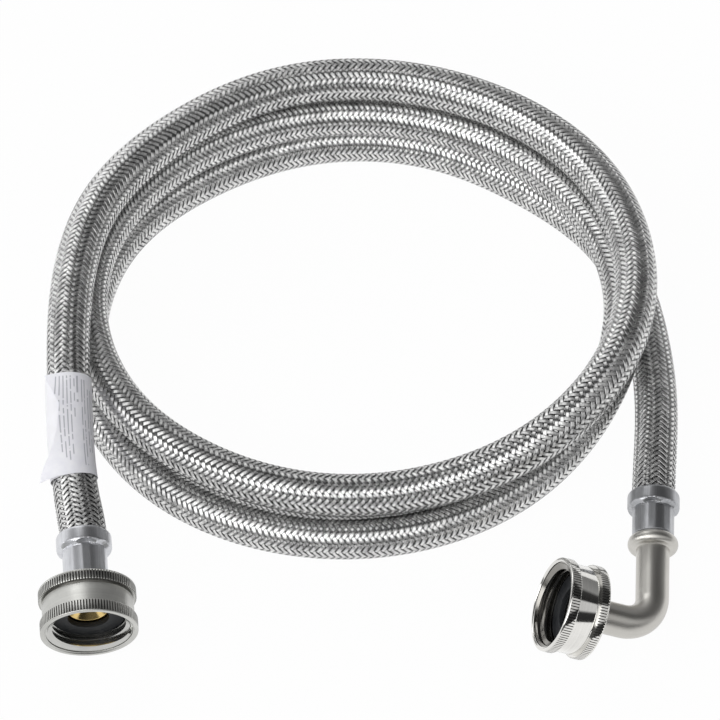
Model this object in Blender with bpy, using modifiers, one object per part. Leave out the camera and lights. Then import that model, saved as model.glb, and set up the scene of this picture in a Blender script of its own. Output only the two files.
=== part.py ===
# Washing machine fill hose, lying in a loose coil of three turns.
# One end has a straight fitting and the other an elbow, each with a swivel nut.
# Metres, +Z up, resting on the plane z = 0.
from math import cos, pi, radians, sin

import bmesh
import bpy
import numpy as np
from mathutils import Vector

# Clearances
seat_gap = 0.0003
running_gap = 0.0004

# Hose: a wire braid over a rubber tube
hose_radius = 0.0073
braid_wall = 0.0008
liner_gap = 0.0003
liner_wall = 0.0010
hose_resolution = 3
hose_spacing = 0.0265
straight_swell = 0.0006
swell_length = 0.026

# Swivel nut for a 3/4 inch hose thread, shown with its bore at the thread's major diameter
straight_nut_radius = 0.0163
straight_nut_length = 0.0157
straight_front_ring = 0.0044
straight_back_ring = 0.0037
straight_back_wall = 0.0043
elbow_nut_radius = 0.0159
elbow_nut_length = 0.0142
elbow_front_ring = 0.0036
elbow_back_ring = 0.0031
elbow_back_wall = 0.0025
nut_thread_radius = 0.0136
nut_mouth_bevel = 0.0006
nut_front_round = 0.0007
nut_back_round = 0.0005
nut_band_depth = 0.0010
nut_edge = 0.0003
nut_groove_width = 0.0007
nut_groove_depth = 0.0005

# Washer and the flange that it seals on
washer_radius = 0.0122
washer_hole_radius = 0.0068
washer_thickness = 0.0021
washer_edge = 0.0003
flange_thickness = 0.0030
flange_inlet_radius = 0.0058

# Barbed stem inside the hose
stem_bore_radius = 0.0029
barb_pitch = 0.0034
barb_depth = 0.0003
stem_overhang = 0.0015

# Crimped ferrule
straight_ferrule_radius = 0.0093
straight_neck_radius = 0.0075
straight_neck_length = 0.0183
elbow_ferrule_radius = 0.0088
elbow_neck_radius = 0.0071
elbow_neck_length = 0.0099
ferrule_wall = 0.0008
ferrule_lip = 0.0008
ferrule_mouth_length = 0.0065
ferrule_step = 0.0010
ferrule_roll = 0.0006
crimp_jaws = 8
crimp_depth = 0.0002
crimp_margin = 0.0012

# Elbow tube
elbow_tube_radius = 0.0056
elbow_tube_wall = 0.0011
elbow_bend_radius = 0.0113
elbow_hose_leg = 0.0342
elbow_nut_leg = 0.0369
bead_radius = 0.0085
bead_length = 0.0042
bead_crown = 0.0015

# Paper label wrapped round the hose
label_start = 0.0444
label_length = 0.0352
label_thickness = 0.0002
label_gap = 0.0003
label_wrap = radians(400)
label_inner_angle = radians(90)

# Where the two ends lie, and how they are turned
straight_face = (-0.0897, -0.0259, 0.01619)
straight_turn = (radians(-85.0), 0.0, radians(4.35))
elbow_corner = (0.0965, -0.01765, 0.00604)
elbow_turn = (radians(4.5), radians(24.3), radians(-2.0))

# The hose's route between its ends, as it lies: three turns that climb over each other
route = [
    (-0.0945, 0.0220, 0.0212), (-0.0981, 0.0593, 0.0322), (-0.0979, 0.0988, 0.0372),
    (-0.0878, 0.1370, 0.0373), (-0.0618, 0.1663, 0.0373), (-0.0268, 0.1847, 0.0373),
    (0.0127, 0.1871, 0.0373), (0.0502, 0.1743, 0.0373), (0.0796, 0.1480, 0.0373),
    (0.0927, 0.1111, 0.0372), (0.0862, 0.0721, 0.0360), (0.0610, 0.0433, 0.0292),
    (0.0250, 0.0299, 0.0208), (-0.0144, 0.0264, 0.0205), (-0.0521, 0.0386, 0.0208),
    (-0.0815, 0.0642, 0.0219), (-0.0936, 0.1007, 0.0224), (-0.0848, 0.1390, 0.0224),
    (-0.0577, 0.1675, 0.0224), (-0.0211, 0.1823, 0.0224), (0.0185, 0.1820, 0.0224),
    (0.0548, 0.1663, 0.0224), (0.0810, 0.1371, 0.0224), (0.0898, 0.0990, 0.0202),
    (0.0768, 0.0637, 0.0108), (0.0500, 0.0351, 0.0075), (0.0136, 0.0195, 0.0074),
    (-0.0259, 0.0196, 0.0074), (-0.0620, 0.0353, 0.0074), (-0.0870, 0.0655, 0.0074),
    (-0.0942, 0.1038, 0.0074), (-0.0825, 0.1412, 0.0074), (-0.0535, 0.1678, 0.0074),
    (-0.0167, 0.1825, 0.0074), (0.0228, 0.1810, 0.0074), (0.0583, 0.1635, 0.0074),
    (0.0864, 0.1359, 0.0074), (0.0981, 0.0982, 0.0076), (0.1001, 0.0675, 0.0094),
]

# Sizes that follow from the ones above
hose_sides = 2 * (hose_resolution + 2)
facet = cos(pi / hose_sides)
straight_seat = straight_nut_length - straight_back_wall - seat_gap
elbow_seat = elbow_nut_length - elbow_back_wall - seat_gap
hose_end_gap = ferrule_lip + seat_gap
liner_inset = (braid_wall + liner_gap) / facet


def clear_scene():
    for obj in list(bpy.data.objects):
        bpy.data.objects.remove(obj)


def new_collection(name):
    group = bpy.data.collections.new(name)
    bpy.context.scene.collection.children.link(group)
    return group


def new_material(name, colour, roughness, metallic):
    material = bpy.data.materials.new(name)
    material.use_nodes = True
    shader = material.node_tree.nodes["Principled BSDF"]
    shader.inputs["Base Color"].default_value = (*colour, 1.0)
    shader.inputs["Roughness"].default_value = roughness
    shader.inputs["Metallic"].default_value = metallic
    material.diffuse_color = (*colour, 1.0)
    return material


def add(name, data, group, material, parent=None, offset=0.0):
    obj = bpy.data.objects.new(name, data)
    group.objects.link(obj)
    data.materials.append(material)
    obj.parent = parent
    obj.location = (0.0, 0.0, offset)
    return obj


def frame_empty(name, group, location, turn, order="XYZ", parent=None):
    empty = bpy.data.objects.new(name, None)
    empty.empty_display_size = 0.02
    empty.location = location
    empty.rotation_mode = order
    empty.rotation_euler = turn
    empty.parent = parent
    group.objects.link(empty)
    return empty


def profile_mesh(name, profile):
    mesh = bpy.data.meshes.new(name)
    count = len(profile)
    points = [(radius, 0.0, height) for radius, height in profile]
    mesh.from_pydata(points, [(i, (i + 1) % count) for i in range(count)], [])
    return mesh


def turned(name, profile, group, material, parent, offset=0.0, steps=28):
    # The profile is (radius, height), down the outer side and up the inner one.
    obj = add(name, profile_mesh(name, profile), group, material, parent, offset)
    screw = obj.modifiers.new("Turn", "SCREW")
    screw.steps = steps
    screw.render_steps = steps
    screw.use_smooth_shade = True
    return obj


def boolean(obj, other, operation):
    other.hide_render = True
    other.display_type = "WIRE"
    cut = obj.modifiers.new(operation.title(), "BOOLEAN")
    cut.operation = operation
    cut.solver = "EXACT"
    cut.object = other


def smooth_by_angle(obj, angle=35):
    obj.data.shade_smooth()
    obj.data.set_sharp_from_angle(angle=radians(angle))


def arc(centre, radius, start, end, steps):
    turns = np.radians(np.linspace(start, end, steps + 1))
    return [(centre[0] + radius * cos(t), centre[1] + radius * sin(t)) for t in turns]


def smooth_line(points, samples):
    # A natural cubic spline through the points, read at even steps of chord length.
    points = np.array(points, float)
    chord = np.linalg.norm(np.diff(points, axis=0), axis=1)
    place = np.concatenate([[0.0], np.cumsum(chord)])
    count = len(points)
    system = np.eye(count)
    right = np.zeros((count, 3))
    for i in range(1, count - 1):
        system[i, i - 1:i + 2] = chord[i - 1], 2 * (chord[i - 1] + chord[i]), chord[i]
        right[i] = (points[i + 1] - points[i]) / chord[i]
        right[i] -= (points[i] - points[i - 1]) / chord[i - 1]
    bend = np.linalg.solve(system, 6 * right)
    where = np.linspace(0.0, place[-1], samples)
    k = np.clip(np.searchsorted(place, where, side="right") - 1, 0, count - 2)
    width = chord[k]
    after = ((where - place[k]) / width)[:, None]
    before = 1 - after
    width = width[:, None] ** 2 / 6
    line = before * points[k] + after * points[k + 1]
    line += (before ** 3 - before) * width * bend[k] + (after ** 3 - after) * width * bend[k + 1]
    return line


def along(line, marks):
    steps = np.linalg.norm(np.diff(line, axis=0), axis=1)
    run = np.concatenate([[0.0], np.cumsum(steps)])
    return np.stack([np.interp(marks, run, line[:, i]) for i in range(3)], axis=1)


def line_length(line):
    return float(np.linalg.norm(np.diff(line, axis=0), axis=1).sum())


def end_marks(neck_length):
    # Distances from the hose's end where its radius changes inside and past the ferrule.
    crimp_end = neck_length - hose_end_gap + seat_gap
    open_start = crimp_end + ferrule_step
    mouth = neck_length + ferrule_mouth_length - hose_end_gap
    return crimp_end, open_start, mouth


def crimped_radius(neck_radius):
    return neck_radius - ferrule_wall - seat_gap


def stem_radius(neck_radius):
    # The stem fills the rubber tube where the ferrule presses it.
    return (crimped_radius(neck_radius) - liner_inset) * facet - liner_wall - seat_gap


def end_radius(distance, neck_radius, neck_length, ferrule_radius, swell):
    crimp_end, open_start, mouth = end_marks(neck_length)
    stations = [0.0, crimp_end, open_start, mouth, mouth + 0.3 * swell_length, mouth + swell_length]
    crimped = crimped_radius(neck_radius)
    opened = min(ferrule_radius - ferrule_wall - seat_gap, hose_radius + swell)
    radii = [crimped, crimped, opened, opened, hose_radius + swell, hose_radius]
    return float(np.interp(distance, stations, radii))


def liner_radius(distance, neck_radius, neck_length):
    # The rubber tube stays narrow over the barbs and opens out inside the ferrule's mouth.
    open_start, mouth = end_marks(neck_length)[1:]
    radii = [crimped_radius(neck_radius) - liner_inset, hose_radius - liner_inset]
    return float(np.interp(distance, [open_start, mouth], radii))


def tube_curve(name, points, radii, group, material, parent=None):
    curve = bpy.data.curves.new(name, "CURVE")
    curve.dimensions = "3D"
    curve.bevel_depth = radii[-1]
    curve.bevel_resolution = hose_resolution
    spline = curve.splines.new("POLY")
    spline.points.add(len(points) - 1)
    for point, place, radius in zip(spline.points, points, radii):
        point.co = (*place, 1.0)
        point.radius = radius / radii[-1]
    spline.use_smooth = True
    return add(name, curve, group, material, parent)


def hose_piece(name, points, radii, wall, group, material):
    obj = tube_curve(name, points, radii, group, material)
    shell = obj.modifiers.new("Wall", "SOLIDIFY")
    shell.thickness = wall
    shell.offset = -1.0
    shell.use_even_offset = True
    return obj


def curve_to_mesh(obj, group, material):
    # A curve with its caps welded on, so that a Boolean can use it.
    name = obj.name
    bpy.context.view_layer.update()
    graph = bpy.context.evaluated_depsgraph_get()
    mesh = bpy.data.meshes.new_from_object(obj.evaluated_get(graph))
    cage = bmesh.new()
    cage.from_mesh(mesh)
    bmesh.ops.remove_doubles(cage, verts=cage.verts, dist=0.000001)
    bmesh.ops.recalc_face_normals(cage, faces=cage.faces)
    cage.to_mesh(mesh)
    cage.free()
    place = obj.matrix_world.copy()
    bpy.data.objects.remove(obj)
    made = bpy.data.objects.new(name, mesh)
    group.objects.link(made)
    mesh.materials.clear()
    mesh.materials.append(material)
    made.matrix_world = place
    return made


def nut_profile(length, radius, front_ring, back_ring, back_wall, back_hole):
    # Two raised rings with a smooth band between them, and a groove under the back one.
    band = radius - nut_band_depth
    groove = band - nut_groove_depth
    ring_start = length - back_ring
    groove_start = ring_start - nut_groove_width
    front, back, edge = nut_front_round, nut_back_round, nut_edge
    profile = arc((radius - back, length - back), back, 90, 0, 3)
    profile += [(radius, ring_start + edge), (radius - edge, ring_start)]
    profile += [(groove, ring_start), (groove, groove_start)]
    profile += [(band, groove_start - nut_groove_depth), (band, front_ring + edge)]
    profile += [(radius - edge, front_ring), (radius, front_ring - edge)]
    profile += arc((radius - front, front), front, 0, -90, 3)
    profile += [(nut_thread_radius + nut_mouth_bevel, 0.0), (nut_thread_radius, nut_mouth_bevel)]
    profile += [(nut_thread_radius, length - back_wall)]
    profile += [(back_hole, length - back_wall), (back_hole, length)]
    return profile


def washer_profile():
    # Height 0 is the back of the flange that the washer lies on.
    back = -flange_thickness - seat_gap
    front = back - washer_thickness
    edge = washer_edge
    return [
        (washer_radius - edge, back), (washer_radius, back - edge),
        (washer_radius, front + edge), (washer_radius - edge, front),
        (washer_hole_radius + edge, front), (washer_hole_radius, front + edge),
        (washer_hole_radius, back - edge), (washer_hole_radius + edge, back),
    ]


def barbs(radius, start, end):
    # Saw-tooth rings between two heights, read from the far end down to the near one.
    count = int((end - start) / barb_pitch)
    rings = []
    for i in range(count):
        crest = end - i * barb_pitch
        rings.append((radius - barb_depth, crest))
        rings.append((radius, crest - 0.75 * barb_pitch))
        rings.append((radius, crest - 0.85 * barb_pitch))
    return rings


def insert_profile():
    # Height 0 is the back of the flange, and the barbed stem runs up from it.
    stem = stem_radius(straight_neck_radius)
    tip = seat_gap + straight_neck_length + stem_overhang
    profile = [(stem_bore_radius + barb_depth, tip)]
    profile += barbs(stem, seat_gap + 2 * ferrule_lip, tip - barb_depth)
    profile += [(stem, 0.0), (washer_radius, 0.0)]
    profile += [(washer_radius, -flange_thickness), (flange_inlet_radius, -flange_thickness)]
    profile += [(stem_bore_radius, flange_inlet_radius - stem_bore_radius - flange_thickness)]
    profile += [(stem_bore_radius, tip)]
    return profile


def ferrule_profile(radius, neck_radius, neck_length):
    # Height 0 is the closed end of the ferrule and its mouth is at the top.
    mouth = neck_length + ferrule_mouth_length
    body = neck_length + ferrule_step
    hole = stem_radius(neck_radius) + seat_gap
    bore, mouth_bore = neck_radius - ferrule_wall, radius - ferrule_wall
    roll = ferrule_roll
    return [
        (mouth_bore + roll, mouth), (radius - 0.3 * roll, mouth - 0.4 * roll),
        (radius, mouth - 2 * roll), (radius, body + ferrule_step),
        (radius - 0.35 * ferrule_step, body), (neck_radius, neck_length),
        (neck_radius, 0.5 * ferrule_lip), (neck_radius - 0.5 * ferrule_lip, 0.0),
        (hole, 0.0), (hole, ferrule_lip), (bore, ferrule_lip),
        (bore, neck_length), (mouth_bore, body), (mouth_bore, mouth - roll),
    ]


def crimp_flats(ferrule, neck_radius, neck_length, material, cutters):
    # The jaws leave flats along the neck: a ring with a many-sided hole cuts them.
    land = (neck_radius - crimp_depth) / cos(pi / crimp_jaws)
    low = ferrule_lip + crimp_margin
    high = neck_length - crimp_margin
    outer = 1.5 * neck_radius
    ring = [(outer, high), (outer, low), (land, low), (land, high)]
    jaws = turned(f"{ferrule.name}_jaws", ring, cutters, material, ferrule.parent,
                  ferrule.location.z, crimp_jaws)
    boolean(ferrule, jaws, "DIFFERENCE")


def elbow_path(from_end, to_end):
    # Down the hose leg, round the bend and along the nut leg.
    turn = np.radians(np.linspace(0, 90, 9))
    centre = np.array([-elbow_bend_radius, elbow_bend_radius])
    points = [(0.0, from_end, 0.0)]
    for t in turn:
        x, y = centre + elbow_bend_radius * np.array([cos(t), -sin(t)])
        points.append((x, y, 0.0))
    points.append((-to_end, 0.0, 0.0))
    return points


def label_mesh(line):
    # A sheet rolled round the hose, with its outer edge lying over its inner one.
    stations = np.linspace(label_start, label_start + label_length, 5)
    centres = along(line, stations)
    ahead = along(line, stations + hose_radius)
    lift = label_thickness + label_gap + seat_gap
    first = hose_radius + straight_swell + label_gap + label_thickness
    turns = np.linspace(0, 1, 25)
    mesh = bpy.data.meshes.new("hose_label")
    sheet = bmesh.new()
    rows = []
    for centre, next_centre in zip(centres, ahead):
        run = Vector(next_centre - centre).normalized()
        side = run.cross(Vector((0, 0, 1))).normalized()
        up = side.cross(run)
        row = []
        for t in turns:
            angle = label_inner_angle + t * label_wrap
            radius = first + lift * t * label_wrap / (2 * pi)
            spoke = cos(angle) * side + sin(angle) * up
            row.append(sheet.verts.new(Vector(centre) + spoke * float(radius)))
        rows.append(row)
    for low, high in zip(rows, rows[1:]):
        for i in range(len(turns) - 1):
            sheet.faces.new((low[i], low[i + 1], high[i + 1], high[i]))
    bmesh.ops.recalc_face_normals(sheet, faces=sheet.faces)
    sheet.to_mesh(mesh)
    sheet.free()
    return mesh


def main():
    clear_scene()
    hose = new_collection("washing_machine_hose")
    cutters = new_collection("cutters")
    braid = new_material("braid_steel", (0.62, 0.62, 0.63), 0.32, 1.0)
    rubber = new_material("liner_rubber", (0.05, 0.05, 0.055), 0.6, 0.0)
    satin = new_material("nut_plating", (0.66, 0.66, 0.64), 0.24, 1.0)
    crimped = new_material("ferrule_steel", (0.55, 0.56, 0.58), 0.3, 1.0)
    nickel = new_material("elbow_nickel", (0.72, 0.69, 0.64), 0.2, 1.0)
    brass = new_material("insert_brass", (0.78, 0.58, 0.26), 0.3, 1.0)
    seal = new_material("washer_rubber", (0.02, 0.02, 0.022), 0.5, 0.0)
    paper = new_material("label_paper", (0.84, 0.84, 0.9), 0.6, 0.0)

    straight = frame_empty("straight_end", hose, straight_face, straight_turn)
    elbow = frame_empty("elbow_end", hose, elbow_corner, elbow_turn, "YXZ")
    elbow_face = frame_empty("elbow_nut_axis", hose, (-elbow_nut_leg, 0.0, 0.0),
                             (0.0, radians(90), 0.0), "XYZ", elbow)
    elbow_neck = frame_empty("elbow_ferrule_axis", hose, (0.0, elbow_hose_leg, 0.0),
                             (radians(-90), 0.0, 0.0), "XYZ", elbow)
    bpy.context.view_layer.update()

    # Straight fitting
    nut = nut_profile(straight_nut_length, straight_nut_radius, straight_front_ring,
                      straight_back_ring, straight_back_wall, straight_neck_radius + running_gap)
    turned("straight_nut", nut, hose, satin, straight, steps=36)
    turned("straight_washer", washer_profile(), hose, seal, straight, straight_seat)
    turned("straight_insert", insert_profile(), hose, brass, straight, straight_seat)
    sleeve = ferrule_profile(straight_ferrule_radius, straight_neck_radius, straight_neck_length)
    ferrule = turned("straight_ferrule", sleeve, hose, crimped, straight, straight_seat + seat_gap)
    crimp_flats(ferrule, straight_neck_radius, straight_neck_length, crimped, cutters)

    # Elbow fitting
    nut = nut_profile(elbow_nut_length, elbow_nut_radius, elbow_front_ring, elbow_back_ring,
                      elbow_back_wall, elbow_tube_radius + running_gap)
    turned("elbow_nut", nut, hose, satin, elbow_face, steps=36)
    turned("elbow_washer", washer_profile(), hose, seal, elbow_face, elbow_seat)
    sleeve = ferrule_profile(elbow_ferrule_radius, elbow_neck_radius, elbow_neck_length)
    ferrule = turned("elbow_ferrule", sleeve, hose, crimped, elbow_neck)
    crimp_flats(ferrule, elbow_neck_radius, elbow_neck_length, crimped, cutters)

    # Elbow tube: bent pipe, bead, barbed stem and flange joined, then bored
    bead_top = elbow_hose_leg - seat_gap
    flange_face = elbow_nut_leg - elbow_seat + flange_thickness
    pipe_points = elbow_path(bead_top - 0.5 * bead_length, flange_face - 0.3 * flange_thickness)
    pipe = tube_curve("elbow_tube", pipe_points, [elbow_tube_radius] * len(pipe_points), hose, nickel,
                      elbow)
    pipe.data.bevel_resolution = 6
    pipe.data.use_fill_caps = True
    pipe = curve_to_mesh(pipe, hose, nickel)
    bore_points = elbow_path(bead_top - elbow_tube_wall, flange_face + flange_thickness)
    bore_radius = elbow_tube_radius - elbow_tube_wall
    bore = tube_curve("elbow_bore", bore_points, [bore_radius] * len(bore_points), cutters, nickel, elbow)
    bore.data.bevel_resolution = 5
    bore.data.use_fill_caps = True
    bore = curve_to_mesh(bore, cutters, nickel)
    stem = stem_radius(elbow_neck_radius)
    tip = elbow_neck_length + stem_overhang
    bead = [(0.5 * stem, tip), (stem - barb_depth, tip)]
    bead += barbs(stem, 2 * ferrule_lip, tip - barb_depth)
    bead += [(stem, -seat_gap)]
    for turn in np.radians(np.linspace(90, -90, 9)):
        bead.append((bead_radius - bead_crown * (1 - cos(turn)),
                     -seat_gap - 0.5 * bead_length * (1 - sin(turn))))
    bead += [(0.5 * stem, -seat_gap - bead_length)]
    bead = turned("elbow_bead", bead, cutters, nickel, elbow_neck)
    disc = [(washer_radius, 0.0), (washer_radius, -flange_thickness),
            (0.5 * stem, -flange_thickness), (0.5 * stem, 0.0)]
    disc = turned("elbow_flange", disc, cutters, nickel, elbow_face, elbow_seat)
    stem_bore = bpy.data.meshes.new("elbow_stem_bore")
    drill = bmesh.new()
    bmesh.ops.create_cone(drill, cap_ends=True, segments=24, radius1=stem_bore_radius,
                          radius2=stem_bore_radius, depth=2 * (tip + bead_length))
    drill.to_mesh(stem_bore)
    drill.free()
    stem_bore = add("elbow_stem_bore", stem_bore, cutters, nickel, elbow_neck)
    boolean(pipe, bead, "UNION")
    boolean(pipe, disc, "UNION")
    boolean(pipe, bore, "DIFFERENCE")
    boolean(pipe, stem_bore, "DIFFERENCE")
    smooth_by_angle(pipe)

    # Hose: its ends lie on the ferrules' axes
    bpy.context.view_layer.update()
    start = straight_seat + seat_gap
    on_straight = [straight.matrix_world @ Vector((0, 0, start + z))
                   for z in (hose_end_gap, straight_neck_length,
                             straight_neck_length + ferrule_mouth_length)]
    on_elbow = [elbow_neck.matrix_world @ Vector((0, 0, z))
                for z in (elbow_neck_length + ferrule_mouth_length, elbow_neck_length,
                          hose_end_gap)]
    points = [tuple(p) for p in on_straight] + route + [tuple(p) for p in on_elbow]
    line = smooth_line(points, 6000)
    total = line_length(line)
    near = end_marks(straight_neck_length)
    near = [0.0, *near, near[2] + 0.3 * swell_length, near[2] + swell_length]
    far = end_marks(elbow_neck_length)
    far = [total, *(total - mark for mark in far), total - far[2] - swell_length]
    count = int((far[-1] - near[-1]) / hose_spacing) + 1
    marks = np.array(near + list(np.linspace(near[-1], far[-1], count + 1)[1:-1]) + far[::-1])
    radii = [end_radius(mark, straight_neck_radius, straight_neck_length, straight_ferrule_radius,
                        straight_swell) if mark < total / 2
             else end_radius(total - mark, elbow_neck_radius, elbow_neck_length,
                             elbow_ferrule_radius, 0.0) for mark in marks]
    places = along(line, marks)
    hose_piece("hose_braid", places, radii, braid_wall, hose, braid)
    liner_radii = [liner_radius(mark, straight_neck_radius, straight_neck_length)
                   if mark < total / 2
                   else liner_radius(total - mark, elbow_neck_radius, elbow_neck_length)
                   for mark in marks]
    hose_piece("hose_liner", places, liner_radii, liner_wall, hose, rubber)
    label = add("hose_label", label_mesh(line), hose, paper)
    sheet = label.modifiers.new("Thickness", "SOLIDIFY")
    sheet.thickness = label_thickness
    sheet.offset = -1.0
    print("hose length", round(total, 4), "points", len(marks))


main()
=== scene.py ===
from math import cos, pi, radians, sin

import bpy
import numpy as np
from mathutils import Euler, Matrix, Vector


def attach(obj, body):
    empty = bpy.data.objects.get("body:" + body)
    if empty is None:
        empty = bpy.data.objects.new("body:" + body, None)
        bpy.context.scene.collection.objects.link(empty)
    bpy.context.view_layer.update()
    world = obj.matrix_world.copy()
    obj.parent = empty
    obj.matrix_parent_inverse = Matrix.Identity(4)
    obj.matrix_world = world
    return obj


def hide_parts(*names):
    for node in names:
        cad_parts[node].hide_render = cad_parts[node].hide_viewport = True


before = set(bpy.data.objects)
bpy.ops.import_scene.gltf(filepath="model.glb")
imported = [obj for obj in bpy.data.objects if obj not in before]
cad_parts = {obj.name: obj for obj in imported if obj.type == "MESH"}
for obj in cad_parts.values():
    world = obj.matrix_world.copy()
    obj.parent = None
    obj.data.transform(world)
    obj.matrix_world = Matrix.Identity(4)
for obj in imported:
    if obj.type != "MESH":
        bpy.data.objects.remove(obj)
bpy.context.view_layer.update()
print("frame loaded")


# Shared helpers
def deselectAll():
    if bpy.context.mode != "OBJECT":
        bpy.ops.object.mode_set(mode="OBJECT")
    bpy.ops.object.select_all(action="DESELECT")


def pick(obj):
    deselectAll()
    obj.select_set(True)
    bpy.context.view_layer.objects.active = obj


def settle(obj, place=None):
    # Bake the place into the mesh, so the object sits at the origin
    if place is not None:
        obj.data.transform(place)
    obj.matrix_world = Matrix()
    obj.data.update()
    return obj


def closeUp(obj, holeSides=None):
    # Fill the open ends where asked, and turn every face outwards
    pick(obj)
    bpy.ops.object.mode_set(mode="EDIT")
    bpy.ops.mesh.select_all(action="SELECT")
    if holeSides is not None:
        bpy.ops.mesh.fill_holes(sides=holeSides)
    bpy.ops.mesh.normals_make_consistent(inside=False)
    bpy.ops.object.mode_set(mode="OBJECT")
    return obj


def turnByHand(name, profile, sides):
    # A ring is drawn out along the profile of (radius, height), one step at a time
    deselectAll()
    radius, height = profile[0]
    bpy.ops.mesh.primitive_circle_add(vertices=sides, radius=radius, location=(0, 0, height))
    obj = bpy.context.active_object
    obj.name = name
    obj.data.name = name
    bpy.ops.object.transform_apply(location=True, rotation=True, scale=True)
    bpy.ops.object.mode_set(mode="EDIT")
    bpy.ops.mesh.select_all(action="SELECT")
    for nextRadius, nextHeight in profile[1:] + profile[:1]:
        bpy.ops.mesh.extrude_region_move()
        grow = nextRadius / radius
        bpy.ops.transform.resize(value=(grow, grow, 1), center_override=(0, 0, height))
        bpy.ops.transform.translate(value=(0, 0, nextHeight - height))
        radius, height = nextRadius, nextHeight
    bpy.ops.mesh.select_all(action="SELECT")
    bpy.ops.mesh.remove_doubles(threshold=0.000002)
    bpy.ops.mesh.normals_make_consistent(inside=False)
    bpy.ops.object.mode_set(mode="OBJECT")
    return obj


def shade(obj, material, angle=32):
    obj.data.materials.clear()
    obj.data.materials.append(material)
    pick(obj)
    bpy.ops.object.shade_smooth_by_angle(angle=radians(angle))
    return obj


def bend(centre, radius, start, end, steps):
    turns = np.radians(np.linspace(start, end, steps + 1))
    return [(centre[0] + radius * cos(t), centre[1] + radius * sin(t)) for t in turns]


def points(obj):
    flat = np.empty(len(obj.data.vertices) * 3)
    obj.data.vertices.foreach_get("co", flat)
    return flat.reshape(-1, 3)


def setPoints(obj, place):
    obj.data.vertices.foreach_set("co", np.asarray(place, float).ravel())
    obj.data.update()


# Where the fittings lie
fitting = {
    "straightFace": (-0.0897, -0.0259, 0.01619),
    "straightTurn": (-85.0, 0.0, 4.35),
    "elbowCorner": (0.0965, -0.01765, 0.00604),
    "elbowTurn": (4.5, 24.3, -2.0),
    "elbowNutLeg": 0.0369,
    "elbowHoseLeg": 0.0342,
    "straightSeat": 0.0111,
    "straightNeck": 0.0114,
    "elbowSeat": 0.0114,
}


def turned(angles, order="XYZ"):
    return Euler([radians(a) for a in angles], order).to_matrix().to_4x4()


straightPlace = Matrix.Translation(fitting["straightFace"]) @ turned(fitting["straightTurn"])
elbowPlace = Matrix.Translation(fitting["elbowCorner"]) @ turned(fitting["elbowTurn"], "YXZ")
elbowNutPlace = elbowPlace @ Matrix.Translation((-fitting["elbowNutLeg"], 0, 0)) @ turned((0, 90, 0))
elbowNeckPlace = elbowPlace @ Matrix.Translation((0, fitting["elbowHoseLeg"], 0)) @ turned((-90, 0, 0))


# Camera
view = {"target": (-0.0004, 0.0955, 0.0), "elevation": 55.0, "distance": 2.2, "lens": 320.75}


def addCamera():
    lift = radians(view["elevation"])
    camera = bpy.data.cameras.new("camera")
    camera.lens = view["lens"]
    camera.sensor_width = 36
    camera.clip_end = 20
    obj = bpy.data.objects.new("camera", camera)
    bpy.context.scene.collection.objects.link(obj)
    step = Vector((0, -cos(lift), sin(lift))) * view["distance"]
    obj.location = Vector(view["target"]) + step
    obj.rotation_euler = (pi / 2 - lift, 0, 0)
    bpy.context.scene.camera = obj


addCamera()
print("camera set")


# Hose route
hose = {
    "radius": 0.0073, "swell": 0.0006, "swellLength": 0.026, "underside": 0.0009,
    "straightMouth": 0.0237, "elbowMouth": 0.0153, "tuckedIn": 0.003,
    "straightStations": (0.0125, 0.0297, 0.0362), "elbowStations": (0.0164, 0.0099, 0.0011),
    "route": [
        (-0.0945, 0.0220, 0.0212), (-0.0981, 0.0593, 0.0322), (-0.0979, 0.0988, 0.0372),
        (-0.0878, 0.1370, 0.0373), (-0.0618, 0.1663, 0.0373), (-0.0268, 0.1847, 0.0373),
        (0.0127, 0.1871, 0.0373), (0.0502, 0.1743, 0.0373), (0.0796, 0.1480, 0.0373),
        (0.0927, 0.1111, 0.0372), (0.0862, 0.0721, 0.0360), (0.0610, 0.0433, 0.0292),
        (0.0250, 0.0299, 0.0208), (-0.0144, 0.0264, 0.0205), (-0.0521, 0.0386, 0.0208),
        (-0.0815, 0.0642, 0.0219), (-0.0936, 0.1007, 0.0224), (-0.0848, 0.1390, 0.0224),
        (-0.0577, 0.1675, 0.0224), (-0.0211, 0.1823, 0.0224), (0.0185, 0.1820, 0.0224),
        (0.0548, 0.1663, 0.0224), (0.0810, 0.1371, 0.0224), (0.0898, 0.0990, 0.0202),
        (0.0768, 0.0637, 0.0108), (0.0500, 0.0351, 0.0075), (0.0136, 0.0195, 0.0074),
        (-0.0259, 0.0196, 0.0074), (-0.0620, 0.0353, 0.0074), (-0.0870, 0.0655, 0.0074),
        (-0.0942, 0.1038, 0.0074), (-0.0825, 0.1412, 0.0074), (-0.0535, 0.1678, 0.0074),
        (-0.0167, 0.1825, 0.0074), (0.0228, 0.1810, 0.0074), (0.0583, 0.1635, 0.0074),
        (0.0864, 0.1359, 0.0074), (0.0981, 0.0982, 0.0076), (0.1001, 0.0675, 0.0094),
    ],
}


def smoothLine(route, samples):
    # A natural cubic spline through the route's points
    p = np.array(route, float)
    chord = np.linalg.norm(np.diff(p, axis=0), axis=1)
    place = np.concatenate([[0.0], np.cumsum(chord)])
    count = len(p)
    system, right = np.eye(count), np.zeros((count, 3))
    for i in range(1, count - 1):
        system[i, i - 1:i + 2] = chord[i - 1], 2 * (chord[i - 1] + chord[i]), chord[i]
        right[i] = (p[i + 1] - p[i]) / chord[i] - (p[i] - p[i - 1]) / chord[i - 1]
    curl = np.linalg.solve(system, 6 * right)
    where = np.linspace(0.0, place[-1], samples)
    k = np.clip(np.searchsorted(place, where, side="right") - 1, 0, count - 2)
    after = ((where - place[k]) / chord[k])[:, None]
    before = 1 - after
    wide = chord[k][:, None] ** 2 / 6
    line = before * p[k] + after * p[k + 1]
    return line + (before ** 3 - before) * wide * curl[k] + (after ** 3 - after) * wide * curl[k + 1]


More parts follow.
